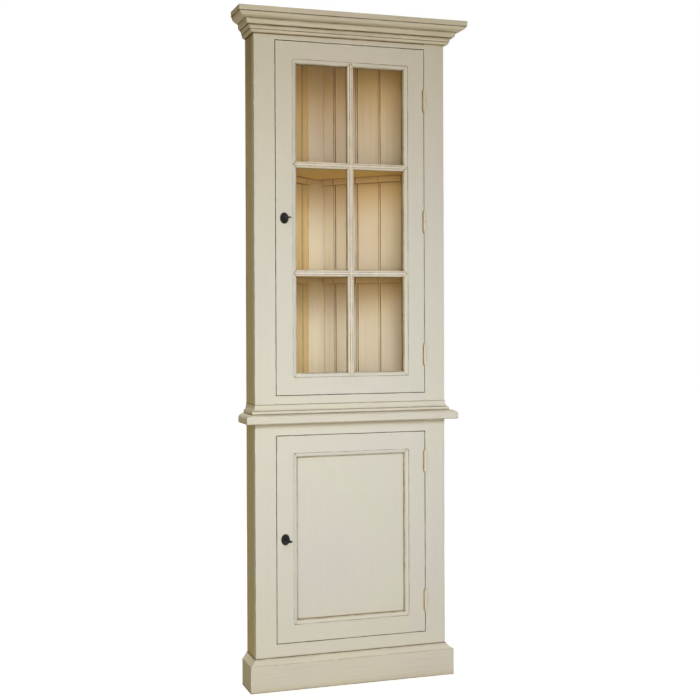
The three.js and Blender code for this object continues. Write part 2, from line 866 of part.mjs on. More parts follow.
function addLock(group, name, keyZ) {
  const escutcheon = cut(makeEscutcheon(), keyholeAt(0).translate(-keyX, 0, 0));
  const parts = [
    ["escutcheon", escutcheon, "iron"],
    ["key", makeKey(), "iron"],
    ["lock_bolt", makeBolt(), "steel"],
    ["lock_case", makeCase(), "iron"],
  ];
  for (const [part, geometry, finish] of parts) {
    addMesh(group, `${name}_${part}`, geometry, finish).position.set(keyX, 0, keyZ);
  }
}

function addDoor(group, name, door, frame, hingeHeights) {
  const keyZ = (door.bottom + door.top) / 2;
  addMesh(group, `${name}_stile_left`, cut(frame.left, keyholeAt(keyZ)), "cream");
  const hung = cut(frame.right, ...hingeRecesses(doorHalf, -1, hingeHeights));
  addMesh(group, `${name}_stile_right`, hung, "cream");
  addMesh(group, `${name}_rail_bottom`, frame.bottomRail, "cream");
  addMesh(group, `${name}_rail_top`, frame.topRail, "cream");
  addLock(group, name, keyZ);
  addHinges(group, name, hingeHeights);
}

function makeCupboard() {
  const cupboard = new THREE.Group();
  cupboard.position.y = middleY;
  addCarcase(cupboard);
  addBoards(cupboard);
  const paneGroove = [paneFront - grooveEase, paneFront + paneThickness + grooveEase];
  const panelGroove = [panelFront - grooveEase, panelFront + panelThickness + grooveEase];
  const upperFrame = makeDoorFrame(upperDoor, memberSection(...paneGroove));
  const lowerFrame = makeDoorFrame(lowerDoor, memberSection(...panelGroove));
  addDoor(cupboard, "upper_door", upperDoor, upperFrame, upperHingeHeights);
  addDoor(cupboard, "lower_door", lowerDoor, lowerFrame, lowerHingeHeights);
  addMesh(cupboard, "glazing_bars", makeBars(upperFrame, barSection(...paneGroove)), "cream");
  addPanes(cupboard);
  addMesh(cupboard, "lower_door_panel", makePanel(), "cream");
  return cupboard;
}

const root = new THREE.Group();
root.add(makeCupboard());
export default root;
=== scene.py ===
"""Looks of the corner cupboard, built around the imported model. Metres, +Z up, the front faces -Y."""

import math

import bmesh
import bpy
from mathutils import Matrix, Vector


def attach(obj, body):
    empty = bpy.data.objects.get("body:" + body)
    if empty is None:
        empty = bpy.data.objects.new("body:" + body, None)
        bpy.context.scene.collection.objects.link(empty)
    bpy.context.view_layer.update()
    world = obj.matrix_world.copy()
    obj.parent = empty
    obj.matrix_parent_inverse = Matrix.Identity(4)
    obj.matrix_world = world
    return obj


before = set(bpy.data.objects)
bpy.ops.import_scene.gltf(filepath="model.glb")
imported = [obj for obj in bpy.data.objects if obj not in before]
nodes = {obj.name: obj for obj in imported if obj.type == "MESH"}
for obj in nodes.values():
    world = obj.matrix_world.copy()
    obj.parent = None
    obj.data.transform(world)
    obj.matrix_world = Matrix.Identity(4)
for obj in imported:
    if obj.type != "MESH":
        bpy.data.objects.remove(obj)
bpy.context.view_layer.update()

# ---------------------------------------------------------------- camera

CAMERA_TURN = math.radians(18.464)
CAMERA_DROOP = math.radians(0.335)
CAMERA_ROLL = math.radians(-0.201)
CAMERA_PLACE = (-1.3201, -4.1284, 1.2169)
FOCAL_PIXELS = 1255.3
IMAGE_SIDE = 700
SENSOR = 36.0
SHIFT = -0.040


def make_camera():
    data = bpy.data.cameras.new("camera")
    data.sensor_width = SENSOR
    data.lens = FOCAL_PIXELS * SENSOR / IMAGE_SIDE
    data.shift_y = SHIFT
    data.clip_start = 0.05
    data.clip_end = 200
    camera = bpy.data.objects.new("camera", data)
    bpy.context.scene.collection.objects.link(camera)
    turn = Matrix.Rotation(-CAMERA_TURN, 4, "Z") @ Matrix.Rotation(math.pi / 2 - CAMERA_DROOP, 4, "X")
    camera.matrix_world = Matrix.Translation(CAMERA_PLACE) @ turn @ Matrix.Rotation(CAMERA_ROLL, 4, "Z")
    bpy.context.scene.camera = camera


make_camera()
bpy.context.scene.view_settings.view_transform = "Standard"

# ---------------------------------------------------------------- node graphs


class Graph:
    """A material's node tree: each call adds a node, feeds its inputs and gives an output."""

    def __init__(self, tree):
        self.tree = tree
        self.tree.nodes.clear()

    def add(self, kind, inputs=None, **settings):
        made = self.tree.nodes.new("ShaderNode" + kind)
        for name, value in settings.items():
            setattr(made, name, value)
        for name, value in (inputs or {}).items():
            self.feed(made.inputs[name], value)
        return made

    def feed(self, socket, value):
        if isinstance(value, bpy.types.NodeSocket):
            self.tree.links.new(value, socket)
        else:
            if socket.type == "RGBA" and len(value) == 3:
                value = (*value, 1)
            socket.default_value = value

    def math(self, operation, *values, clamp=False):
        made = self.add("Math", dict(enumerate(values)), operation=operation, use_clamp=clamp)
        return made.outputs[0]

    def times(self, a, b):
        return self.math("MULTIPLY", a, b)

    def minus(self, a, b):
        return self.math("SUBTRACT", a, b)

    def within(self, value, middle, reach):
        """1 where a value is no further than reach from middle, else 0."""
        return self.math("COMPARE", value, middle, reach)

    def around(self, value, spread, start):
        """A value from 0 to 1 made to run from start to start + spread."""
        return self.math("MULTIPLY_ADD", value, spread, start)

    def mix(self, share, a, b, blend="MIX"):
        made = self.add("Mix", {0: share, 6: a, 7: b}, data_type="RGBA", blend_type=blend)
        return made.outputs[2]

    def ramp(self, value, low, high, to_low=0.0, to_high=1.0):
        """A smooth step from to_low to to_high, while a value goes from low to high."""
        made = self.add(
            "MapRange",
            {"Value": value, "From Min": low, "From Max": high, "To Min": to_low, "To Max": to_high},
            interpolation_type="SMOOTHSTEP",
        )
        return made.outputs[0]

    def place(self, scale, offset):
        """The point on the piece, stretched and moved, as a noise takes it."""
        coords = self.add("TexCoord").outputs["Object"]
        return self.add("Mapping", {"Vector": coords, "Scale": scale, "Location": offset}).outputs[0]

    def axes(self):
        """X, Y and Z of the point, in the piece's own space."""
        coords = self.add("TexCoord").outputs["Object"]
        return self.add("SeparateXYZ", {0: coords}).outputs[:3]

    def normal(self):
        """X, Y and Z of the way the surface faces, in the piece's own space."""
        made = self.add("TexCoord").outputs["Normal"]
        return self.add("SeparateXYZ", {0: made}).outputs[:3]

    def tint(self, colour, tone):
        """A colour made lighter or darker by a factor."""
        grey = self.add("CombineColor", {0: tone, 1: tone, 2: tone}).outputs[0]
        return self.mix(1.0, colour, grey, "MULTIPLY")

    def noise(self, scale, detail, roughness, offset=(0, 0, 0)):
        """Fractal noise over the piece, with a scale for each axis."""
        vector = self.place(scale, offset)
        inputs = {"Vector": vector, "Scale": 1.0, "Detail": detail, "Roughness": roughness}
        return self.add("TexNoise", inputs).outputs["Fac"]

    def hollows(self, distance, samples=8):
        """1 deep in a corner or crevice, 0 in the open."""
        made = self.add("AmbientOcclusion", {"Distance": distance}, samples=samples)
        return self.minus(1.0, made.outputs["AO"])

    def arrises(self, radius, low, high, samples=6):
        """1 on the edges of the solid, 0 on its flats, and the normal rounded over them."""
        rounded = self.add("Bevel", {"Radius": radius}, samples=samples).outputs[0]
        true = self.add("NewGeometry").outputs["True Normal"]
        dot = self.add("VectorMath", {0: rounded, 1: true}, operation="DOT_PRODUCT").outputs["Value"]
        return self.ramp(self.minus(1.0, dot), low, high), rounded

    def blend(self, share, a, b):
        """Shader a where the share is 0, and b where it is 1."""
        made = self.add("MixShader", {0: share})
        self.tree.links.new(a.outputs[0], made.inputs[1])
        self.tree.links.new(b.outputs[0], made.inputs[2])
        return made

    def finish(self, bsdf):
        out = self.add("OutputMaterial")
        self.tree.links.new(bsdf.outputs[0], out.inputs["Surface"])


def new_material(name):
    made = bpy.data.materials.new(name)
    made.use_nodes = True
    return made, Graph(made.node_tree)


def linear(r, g, b):
    """A colour written as it is seen, 0 to 255, as the numbers that light is reckoned in."""
    return tuple(c / 255 / 12.92 if c <= 10.3 else ((c / 255 + 0.055) / 1.055) ** 2.4 for c in (r, g, b))


# ---------------------------------------------------------------- materials

# Brown glaze. Where it fills crevices and gaps it is also painted shade; it also colours rubbed breaks and
# glaze dragged into brush marks.
GLAZE_AND_SHADE = linear(90, 64, 28)
UPPER_GLAZE_AND_SHADE = linear(122, 98, 52)
LOWER_GLAZE_AND_SHADE = linear(122, 106, 60)
# Pale glaze: painted light in the gap beside the upper door's hinges.
HINGE_GAP_LIGHT = linear(190, 176, 136)
TRIM_GLAZE_AND_SHADE = linear(88, 66, 22)
INSIDE_GLAZE_AND_SHADE = linear(98, 62, 20)
CREAM = linear(222, 217, 203)
CREAM_TRIM = linear(222, 216, 199)
CREAM_CORNICE = linear(226, 218, 198)
# The sides are painted in shade: darker and more olive than the front, and darker still toward the top.
SIDE_SHADE = linear(208, 197, 156)
SIDE_TOP_SHADE = linear(174, 160, 118)
CREAM_HINGE = linear(230, 222, 198)
CREAM_BARS = linear(233, 223, 203)
# Painted shade: what the paint turns to near hollows, warmer and darker.
CREAM_HOLLOW_SHADE = linear(198, 178, 128)
TRIM_HOLLOW_SHADE = linear(186, 162, 112)
# Painted highlights on the arrises, outside and inside.
LIT_EDGE = linear(246, 236, 208)
LIT_INSIDE = linear(232, 204, 156)
INSIDE = linear(225, 208, 182)
# Painted shade: the left wall inside is darker and more amber than the right.
INSIDE_LEFT_SHADE = linear(226, 195, 138)
INSIDE_LEVEL = linear(214, 192, 150)
INSIDE_HOLLOW_SHADE = linear(176, 130, 56)
INSIDE_AMBER = linear(203, 164, 94)
UNDERSIDE_SHADE = linear(230, 192, 112)
PINE_LIGHT = linear(212, 178, 128)
PINE_DARK = linear(176, 134, 82)

# Tone of the paint by height, yellower toward the top and the floor: factors at the middle, the top and the
# floor, and the heights between which they blend. Two more factors lie in patches over all of it.
HEIGHT_TONE_MIDDLE = (0.955, 0.972, 0.98)
HEIGHT_TONE_TOP = (0.985, 0.955, 0.87)
HEIGHT_TONE_FOOT = (0.985, 0.99, 0.95)
HEIGHT_TONE_UPWARDS = (1.25, 2.2)
HEIGHT_TONE_DOWNWARDS = (0.45, 0.0)
PATCH_TINGES = ((0.995, 0.985, 0.985), (0.985, 0.995, 0.94))

# Scales of the noises in the paint: brush streaks on upright and level pieces, cloudy patches,
# breaks in the glaze, and specks.
UPRIGHT = (420, 420, 14)
LEVEL = (14, 14, 420)
CLOUDS = (3.6, 3.6, 2.4)
BREAKS = (19, 19, 19)
SPECKS = (170, 170, 170)

# How far hollows and arrises reach in the paint, in metres.
HOLLOW_SHADE_REACH = 0.03
DRAGGED_HOLLOW = 0.012
PAINT_ARRIS = 0.0022
IRON_ARRIS = 0.0006

# Joints of doors and frame, which are filled with paint. The doors are given by their bottom and top.
UPPER_DOOR = (0.9555, 2.107)
LOWER_DOOR = (0.1485, 0.8225)
DOOR_JOINT_X = 0.201
FRAME_JOINT_X = 0.26
JOINT_REACH = 0.0027
MITRE_REACH = 0.0018
MITRE_EASE = 0.0012
SHOULDER_EASE = 0.0006
MEMBER_FLAT = 0.057
STICK = 0.014
# Heights over which the rails of the frame show, clear of the mouldings.
RAILS_SEEN = ((0.1095, 0.1463), (0.8247, 0.857), (0.9335, 0.9533), (2.1092, 2.120))

# The backs: where their outer corner lies, and their boards.
APEX_Y = 0.254
BACK_THICKNESS = 0.012
BOARD_PITCH = 0.08881
SIDE_STEP = 20.0  # keeps the draws of the two backs apart
# Height of each ceiling inside, and how far below it its shade starts and ends to thin.
CEILINGS = ((1.349, 0.0, 0.19), (1.704, 0.0, 0.19), (2.181, 0.10, 0.38))
CEILING_SHARE = 0.75
APEX_REACH = 0.30
APEX_LIGHT = (1.13, 1.13, 1.09)
INSIDE_PAINTED_LIGHT = (1.28, 1.46, 0.96, 1.07)  # painted light: the inside turns lighter from the first height to the second, from tone to tone
BOARD_FIGURE = (75, 75, 1.6)
LINE_BREAKS = (30, 30, 9)
# The dark line in each joint between boards and the painted highlight beside it, from the joint.
DARK_LINE = 0.0006
HIGHLIGHT_LINE = 0.0045
LINE_REACH = 0.0016

SIDE_SHADE_HEIGHTS = (1.75, 2.12)  # heights between which the painted shade on the sides turns to its darker upper colour
HINGE_GAP_LIGHT_FROM = (0.88, 0.98)  # heights between which the glaze beside the hinges turns pale, as painted light in the gap there

PINE_WANDER = (9, 9, 0.75)
PINE_START = (3.1, 0.4, 1.9)
PINE_FIBRES = (700, 700, 7)
RING_WANDER = 64.0
RING_RATE = 130.0
RING_STEP = 40.0  # starts the rings of each board elsewhere

PANE_IOR = 1.18
PANE_COLOUR = (0.97, 0.985, 0.975)
PANE_SHADOW = (0.95, 0.97, 0.96)


def door_joints(bottom, top):
    """Where a door's joints are painted over: its shoulders, and the mitres of its moulding."""

    def mask(g):
        x, _, z = g.axes()
        up = g.math("ABSOLUTE", g.minus(z, (bottom + top) / 2))
        inner = (top - bottom) / 2 - MEMBER_FLAT
        along = g.minus(DOOR_JOINT_X, g.math("ABSOLUTE", x))
        down = g.minus(inner, up)
        mitre = g.within(along, down, MITRE_REACH)
        corner = g.within(along, STICK / 2, STICK / 2 - MITRE_EASE)
        beyond = g.math("LESS_THAN", down, SHOULDER_EASE)
        shoulder = g.times(g.within(along, 0.0, JOINT_REACH), beyond)
        return g.math("MAXIMUM", g.times(mitre, corner), shoulder)

    return mask


def frame_joints(g):
    """Where the joints of the face frame are painted over: beside its rails."""
    x, _, z = g.axes()
    shoulder = g.within(g.math("ABSOLUTE", x), FRAME_JOINT_X, JOINT_REACH)
    rails = 0.0
    for low, high in RAILS_SEEN:
        rails = g.math("MAXIMUM", rails, g.within(z, (low + high) / 2, (high - low) / 2))
    return g.times(shoulder, rails)


def along_wall(g):
    """How far a point lies from the outer corner, along its back."""
    x, y, _ = g.axes()
    return g.times(g.minus(g.math("ADD", g.math("ABSOLUTE", x), APEX_Y), y), math.sqrt(0.5))


def board_chance(g):
    """A number from 0 to 1, one for each board of the backs."""
    index = g.math("FLOOR", g.math("DIVIDE", g.minus(along_wall(g), BACK_THICKNESS), BOARD_PITCH))
    draw = g.math("MULTIPLY_ADD", g.math("SIGN", g.axes()[0]), SIDE_STEP, index)
    return g.add("TexWhiteNoise", {"W": draw}, noise_dimensions="1D").outputs["Value"]


def ceiling_shade(g):
    """1 close under a shelf or the top board, thinning to 0 further down."""
    z = g.axes()[2]
    shade = 0.0
    for ceiling, start, end in CEILINGS:
        below = g.minus(ceiling, z)
        near = g.ramp(below, start, end, 1.0, 0.0)
        shade = g.math("MAXIMUM", shade, g.times(near, g.math("GREATER_THAN", below, -0.001)))
    return shade


def walls(base):
    """Colour of a painted wall of the inside: shade painted under each shelf, painted light higher up, and
    bare pine on its outer face.
    """

    def colour(g):
        apex = g.mix(g.ramp(along_wall(g), 0.0, APEX_REACH), APEX_LIGHT, (1, 1, 1))
        mixed = g.mix(1.0, base, apex, "MULTIPLY")
        mixed = g.mix(g.times(ceiling_shade(g), CEILING_SHARE), mixed, INSIDE_AMBER)
        # Painted light: darker low down, lighter from about 1.45 m up.
        mixed = g.tint(mixed, g.ramp(g.axes()[2], *INSIDE_PAINTED_LIGHT))
        mixed = g.tint(mixed, g.around(board_chance(g), 0.09, 0.93))
        figure = g.noise(BOARD_FIGURE, 4.0, 0.65)
        mixed = g.mix(g.ramp(figure, 0.48, 0.68, 0.0, 0.18), mixed, INSIDE_AMBER)
        past = g.math("MODULO", g.minus(along_wall(g), BACK_THICKNESS - BOARD_PITCH / 2), BOARD_PITCH)
        beside = g.minus(past, BOARD_PITCH / 2)
        # A painted highlight beside each joint between boards.
        mixed = g.mix(g.times(g.within(beside, HIGHLIGHT_LINE, LINE_REACH), 0.5), mixed, LIT_INSIDE)
        broken = g.ramp(g.noise(LINE_BREAKS, 3.0, 0.6), 0.36, 0.56, 0.45, 0.95)
        mixed = g.mix(g.times(g.within(beside, DARK_LINE, LINE_REACH), broken), mixed, INSIDE_GLAZE_AND_SHADE)
        outer = g.math("GREATER_THAN", g.normal()[1], 0.5)
        return g.mix(outer, mixed, pine(g))

    return colour


def shelves(g):
    """Colour of the shelves and boards, with painted amber shade on their undersides."""
    down = g.math("LESS_THAN", g.normal()[2], -0.5)
    return g.mix(down, INSIDE_LEVEL, UNDERSIDE_SHADE)


def inward_faces(g, axis, way):
    """1 on the faces that look into the cupboard, which is way (1 or -1) along the axis."""
    return g.math("GREATER_THAN", g.times(g.normal()[axis], way), 0.5)


def lined(base, axis, way, shaded_top=None):
    """Colour of an outer piece: shaded_top, if given, as painted shade near its top, and the inside's on
    faces that look in.
    """

    def colour(g):
        outside = g.mix(g.ramp(g.axes()[2], *SIDE_SHADE_HEIGHTS), base, shaded_top) if shaded_top else base
        return g.mix(inward_faces(g, axis, way), outside, INSIDE_LEVEL)

    return colour


def frame_brown(g):
    """Glaze and painted shade of the frame's stiles, made pale beside the hinges of the upper door as painted
    light in the gap there.
    """
    x, _, z = g.axes()
    hinged = g.math("GREATER_THAN", x, 0.0)
    return g.mix(g.times(hinged, g.ramp(z, *HINGE_GAP_LIGHT_FROM)), GLAZE_AND_SHADE, HINGE_GAP_LIGHT)


def pine(g):
    """Bare planed pine with its grain upright."""
    across = along_wall(g)
    chance = board_chance(g)
    wander = g.noise(PINE_WANDER, 2.0, 0.45, PINE_START)
    phase = g.math("MULTIPLY_ADD", wander, RING_WANDER, g.times(across, RING_RATE))
    rings = g.math("SINE", g.math("MULTIPLY_ADD", chance, RING_STEP, phase))
    rings = g.math("POWER", g.ramp(rings, -0.6, 1.0), 1.6)
    fibres = g.noise(PINE_FIBRES, 3.0, 0.7)
    colour = g.mix(g.times(rings, 0.55), PINE_LIGHT, PINE_DARK)
    colour = g.tint(colour, g.around(fibres, 0.30, 0.84))
    return g.tint(colour, g.around(chance, 0.20, 0.88))


def paint(
    name, grain, base, hollow_shade=CREAM_HOLLOW_SHADE, wear=1.0, glaze=1.0, seed=0.0, joints=None, line=0.006, shade_halo=0.8,
    plain=False, brown=GLAZE_AND_SHADE, lit=LIT_EDGE, drag=0.0,
):
    """Brushed paint with brown glaze and painted shade in its hollows, painted highlights and rubbed breaks
    on its arrises.

    base, brown: a colour, or a function of the graph that gives one. hollow_shade: the painted shade that the
    base turns to near a hollow, by shade_halo. wear: how much is rubbed. glaze, line: how much glaze and
    painted shade fill a crevice, and from how far.
    joints: a mask of joints filled with paint. plain: base alone. drag: glaze left in the brush marks.
    """
    made, g = new_material(name)
    shift = (seed, seed * 0.7, seed * 1.3)
    streaks = g.noise(grain, 3.0, 0.65, shift)
    clouds = g.noise(CLOUDS, 4.0, 0.6, shift)
    breaks = g.noise(BREAKS, 4.0, 0.65, shift)
    specks = g.noise(SPECKS, 2.0, 0.7, shift)

    colour = base(g) if callable(base) else base
    brown = brown(g) if callable(brown) else brown
    height = g.axes()[2]
    height_tone = g.mix(g.ramp(height, *HEIGHT_TONE_UPWARDS), HEIGHT_TONE_MIDDLE, HEIGHT_TONE_TOP)
    height_tone = g.mix(g.ramp(height, *HEIGHT_TONE_DOWNWARDS), height_tone, HEIGHT_TONE_FOOT)
    colour = g.mix(1.0, colour, height_tone, "MULTIPLY")
    colour = g.mix(1.0, colour, g.mix(g.ramp(clouds, 0.32, 0.68), *PATCH_TINGES), "MULTIPLY")
    tone = g.around(streaks, 0.09, 0.955)
    tone = g.times(tone, g.around(clouds, 0.06, 0.97))
    tone = g.times(tone, g.around(specks, 0.04, 0.98))
    colour = g.tint(colour, tone)

    normal = g.add("NewGeometry").outputs["Normal"]
    if not plain:
        bare = g.minus(1.0, joints(g)) if joints else 1.0
        # Painted shade near hollows.
        near = g.times(g.ramp(g.hollows(HOLLOW_SHADE_REACH), 0.06, 0.62, 0.0, shade_halo), bare)
        colour = g.mix(near, colour, hollow_shade)
        if drag:
            marks = g.noise(tuple(0.35 * part for part in grain), 4.0, 0.7, shift)
            sheltered = g.ramp(g.hollows(DRAGGED_HOLLOW), 0.02, 0.5, 0.18, 1.0)
            swept = g.times(g.ramp(marks, 0.47, 0.72), sheltered)
            colour = g.mix(g.times(swept, drag), colour, brown)
        edge, rounded = g.arrises(PAINT_ARRIS, 0.04, 0.20)
        edge = g.times(edge, bare)
        normal = g.add("Mix", {0: bare, 4: normal, 5: rounded}, data_type="VECTOR").outputs[1]
        # Painted highlight along the arrises.
        colour = g.mix(g.times(edge, 0.65), colour, lit)
        low = 0.56 - 0.12 * wear
        rubbed = g.times(edge, g.ramp(breaks, low, low + 0.10, 0.0, 0.9))
        # Brown glaze and painted shade in crevices and gaps, darker where they lie deeper.
        crevice = g.ramp(g.hollows(line), 0.19 - 0.06 * glaze, 0.48 - 0.1 * glaze, 0.0, bare)
        crevice = g.times(crevice, g.ramp(breaks, 0.30, 0.60, 0.6, 1.0))
        dark = g.math("MAXIMUM", rubbed, crevice, clamp=True)
        colour = g.mix(dark, colour, brown)

    lumps = g.math("MULTIPLY_ADD", specks, 0.35, streaks)
    bump = g.add("Bump", {"Height": lumps, "Strength": 0.3, "Distance": 0.0003, "Normal": normal})
    bsdf = g.add(
        "BsdfPrincipled",
        {
            "Base Color": colour,
            "Roughness": g.around(streaks, 0.16, 0.50),
            "Normal": bump.outputs[0],
            "Specular IOR Level": 0.05,
        },
    )
    g.finish(bsdf)
    return made


def glass():
    """Clear panes, whose low index keeps the reflections of the lamps out and which let light straight in."""
    made, g = new_material("window_glass")
    clear = g.add(
        "BsdfPrincipled",
        {
            "Base Color": PANE_COLOUR,
            "Roughness": 0.0,
            "IOR": PANE_IOR,
            "Transmission Weight": 1.0,
        },
    )
    open_air = g.add("BsdfTransparent", {"Color": PANE_SHADOW})
    shadow = g.add("LightPath").outputs["Is Shadow Ray"]
    g.finish(g.blend(shadow, clear, open_air))
    return made


def metal(name, base, worn, roughness, metallic, bump_scale, bump_strength):
    """Blacked iron or steel, a little brighter where it is handled."""
    made, g = new_material(name)
    hammer = g.noise((bump_scale,) * 3, 2.0, 0.5)
    patches = g.noise((55, 55, 55), 3.0, 0.6)
    edge, rounded = g.arrises(IRON_ARRIS, 0.04, 0.25)
    bright = g.times(edge, g.ramp(patches, 0.35, 0.6, 0.1, 0.7))
    dents = {"Height": hammer, "Strength": bump_strength, "Distance": 0.0005, "Normal": rounded}
    bsdf = g.add(
        "BsdfPrincipled",
        {
            "Base Color": g.mix(bright, base, worn),
            "Roughness": g.around(patches, 0.25, roughness - 0.12),
            "Metallic": metallic,
            "Normal": g.add("Bump", dents).outputs[0],
        },
    )
    g.finish(bsdf)
    return made


UPPER = {"joints": door_joints(*UPPER_DOOR), "brown": UPPER_GLAZE_AND_SHADE}
LOWER = {"joints": door_joints(*LOWER_DOOR), "brown": LOWER_GLAZE_AND_SHADE}
INNER = {"hollow_shade": INSIDE_HOLLOW_SHADE, "shade_halo": 0.4, "line": 0.0026, "brown": INSIDE_GLAZE_AND_SHADE, "lit": LIT_INSIDE}
TRIM = {"wear": 1.6, "glaze": 1.3, "line": 0.0045, "shade_halo": 0.5, "drag": 0.4, "brown": TRIM_GLAZE_AND_SHADE}
CORNICE = {"hollow_shade": TRIM_HOLLOW_SHADE, "wear": 2.2, "glaze": 2.4, "line": 0.0065, "drag": 0.8, "brown": TRIM_GLAZE_AND_SHADE}
HINGE = {"wear": 0.7, "glaze": 0.7, "line": 0.003, "shade_halo": 0.1, "brown": LOWER_GLAZE_AND_SHADE}
FRAME_CREAM = lined(CREAM, 1, 1)
# Both sides carry painted shade.
LEFT_SHADED_CREAM = lined(SIDE_SHADE, 0, 1, SIDE_TOP_SHADE)
RIGHT_SHADED_CREAM = lined(SIDE_SHADE, 0, -1, SIDE_TOP_SHADE)
IRON, IRON_WORN = linear(13, 12, 11), linear(84, 80, 74)
STEEL, STEEL_WORN = linear(140, 136, 130), linear(190, 188, 184)

MATERIALS = {
    "upper_upright": paint("upper_upright", UPRIGHT, CREAM, **UPPER),
    "upper_level": paint("upper_level", LEVEL, CREAM, seed=1.7, **UPPER),
    "lower_upright": paint("lower_upright", UPRIGHT, CREAM, seed=0.9, **LOWER),
    "lower_level": paint("lower_level", LEVEL, CREAM, seed=2.3, **LOWER),
    "frame_upright": paint(
        "frame_upright", UPRIGHT, FRAME_CREAM, seed=4.1, joints=frame_joints, brown=frame_brown
    ),
    "frame_level": paint("frame_level", LEVEL, FRAME_CREAM, seed=3.1, joints=frame_joints),
    "filler": paint("joint_filler", UPRIGHT, CREAM, seed=4.1, plain=True),
    "side_left": paint("side_left", UPRIGHT, LEFT_SHADED_CREAM, seed=6.2),
    "side_right": paint("side_right", UPRIGHT, RIGHT_SHADED_CREAM, seed=6.9),
    "trim": paint("cream_trim", LEVEL, CREAM_TRIM, seed=8.4, **TRIM),
    "cornice": paint("cream_cornice", LEVEL, CREAM_CORNICE, seed=8.9, **CORNICE),
    "panel": paint("cream_panel", UPRIGHT, CREAM, seed=2.9, brown=LOWER_GLAZE_AND_SHADE),
    "bars": paint("cream_bars", UPRIGHT, CREAM_BARS, glaze=1.4, seed=2.1, line=0.004, shade_halo=0.12),
    "hinge": paint("cream_hinge", UPRIGHT, CREAM_HINGE, seed=5.7, **HINGE),
    "wall_left": paint("wall_left", UPRIGHT, walls(INSIDE_LEFT_SHADE), wear=0.2, glaze=1.9, seed=7.3, **INNER),
    "wall_right": paint("wall_right", UPRIGHT, walls(INSIDE), wear=0.2, glaze=1.2, seed=7.9, **INNER),
    "shelf": paint("inside_level", LEVEL, shelves, wear=0.5, seed=9.1, **INNER),
    "iron": metal("blacked_iron", IRON, IRON_WORN, 0.38, 0.4, 420, 0.5),
    "steel": metal("steel", STEEL, STEEL_WORN, 0.35, 1.0, 900, 0.2),
    "glass": glass(),
}

ENDINGS = {
    "_bolt": "steel",
    "escutcheon": "iron",
    "_key": "iron",
    "_case": "iron",
    "_panel": "panel",
}


def material_for(name):
    """The material of a node of the model, found by its name."""
    for ending, key in ENDINGS.items():
        if name.endswith(ending):
            return MATERIALS[key]
    if name.startswith("pane_"):
        return MATERIALS["glass"]
    if "hinge" in name:
        return MATERIALS["hinge"]
    if name == "back_left":
        return MATERIALS["wall_left"]
    if name in ("back_right", "corner_post"):
        return MATERIALS["wall_right"]
    if "batten" in name:
        return MATERIALS["wall_left" if name.endswith("left") else "wall_right"]
    if "board" in name or name.startswith("shelf"):
        return MATERIALS["shelf"]
    if name.startswith("side_"):
        return MATERIALS[name]
    if name == "cornice":
        return MATERIALS["cornice"]
    if name == "plinth" or name.startswith("waist"):
        return MATERIALS["trim"]
    if name == "glazing_bars":
        return MATERIALS["bars"]
    way = "level" if "rail" in name else "upright"
    return MATERIALS[name.split("_")[0] + "_" + way]


MERGE_REACH = 2e-6
SHARP_FROM = math.radians(32)


def smooth_group():
    """A modifier that joins split corners and shades curved surfaces smooth, with sharp arrises."""
    tree = bpy.data.node_groups.new("soft_curves", "GeometryNodeTree")
    tree.interface.new_socket("Geometry", in_out="INPUT", socket_type="NodeSocketGeometry")
    tree.interface.new_socket("Geometry", in_out="OUTPUT", socket_type="NodeSocketGeometry")
    start = tree.nodes.new("NodeGroupInput")
    end = tree.nodes.new("NodeGroupOutput")
    merge = tree.nodes.new("GeometryNodeMergeByDistance")
    merge.inputs["Distance"].default_value = MERGE_REACH
    soft = tree.nodes.new("GeometryNodeSetShadeSmooth")
    soft.domain = "FACE"
    sharp = tree.nodes.new("GeometryNodeSetShadeSmooth")
    sharp.domain = "EDGE"
    sharp.inputs["Shade Smooth"].default_value = False
    angle = tree.nodes.new("GeometryNodeInputMeshEdgeAngle")
    wide = tree.nodes.new("FunctionNodeCompare")
    wide.inputs["B"].default_value = SHARP_FROM
    for a, b in (
        (start.outputs[0], merge.inputs["Geometry"]),
        (merge.outputs[0], soft.inputs["Geometry"]),
        (soft.outputs[0], sharp.inputs["Geometry"]),
        (angle.outputs[0], wide.inputs["A"]),
        (wide.outputs[0], sharp.inputs["Selection"]),
        (sharp.outputs[0], end.inputs[0]),
    ):
        tree.links.new(a, b)
    return tree


SOFT_CURVES = smooth_group()

for name, obj in nodes.items():
    obj.data.materials.clear()
    obj.data.materials.append(material_for(name))
    obj.modifiers.new("soft_curves", "NODES").node_group = SOFT_CURVES

# ---------------------------------------------------------------- small pieces
# Sizes in millimetres in the face's frame: X from the middle, Y back from the face, Z from the floor.

FACE_Y = -192.0
MM = 0.001
SEAT = 0.3  # how far a small piece goes into what carries it


def at(x, y, z):
    """The point of the row's frame for one in the face's."""
    return Vector((x * MM, (y + FACE_Y) * MM, z * MM))


def add_piece(name, build, body, material, soft=True):
    """A mesh made by build(bm), which rides on a body."""
    mesh = bpy.data.meshes.new(name)
    bm = bmesh.new()
    build(bm)
    bmesh.ops.recalc_face_normals(bm, faces=bm.faces)
    bm.to_mesh(mesh)
    bm.free()
    piece = bpy.data.objects.new(name, mesh)
    bpy.context.scene.collection.objects.link(piece)
    mesh.materials.append(MATERIALS[material])
    if soft:
        piece.modifiers.new("soft_curves", "NODES").node_group = SOFT_CURVES
    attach(piece, body)


def add_box(bm, low, high):
    """An upright box between two corners in millimetres."""
    corners = [at(x, y, z) for x in (low[0], high[0]) for y in (low[1], high[1]) for z in (low[2], high[2])]
    made = [bm.verts.new(corner) for corner in corners]
    for face in ((0, 1, 3, 2), (4, 6, 7, 5), (0, 4, 5, 1), (2, 3, 7, 6), (0, 2, 6, 4), (1, 5, 7, 3)):
        bm.faces.new([made[k] for k in face])


FILL_DEPTH = 3.0
FILL_BACK = 0.01
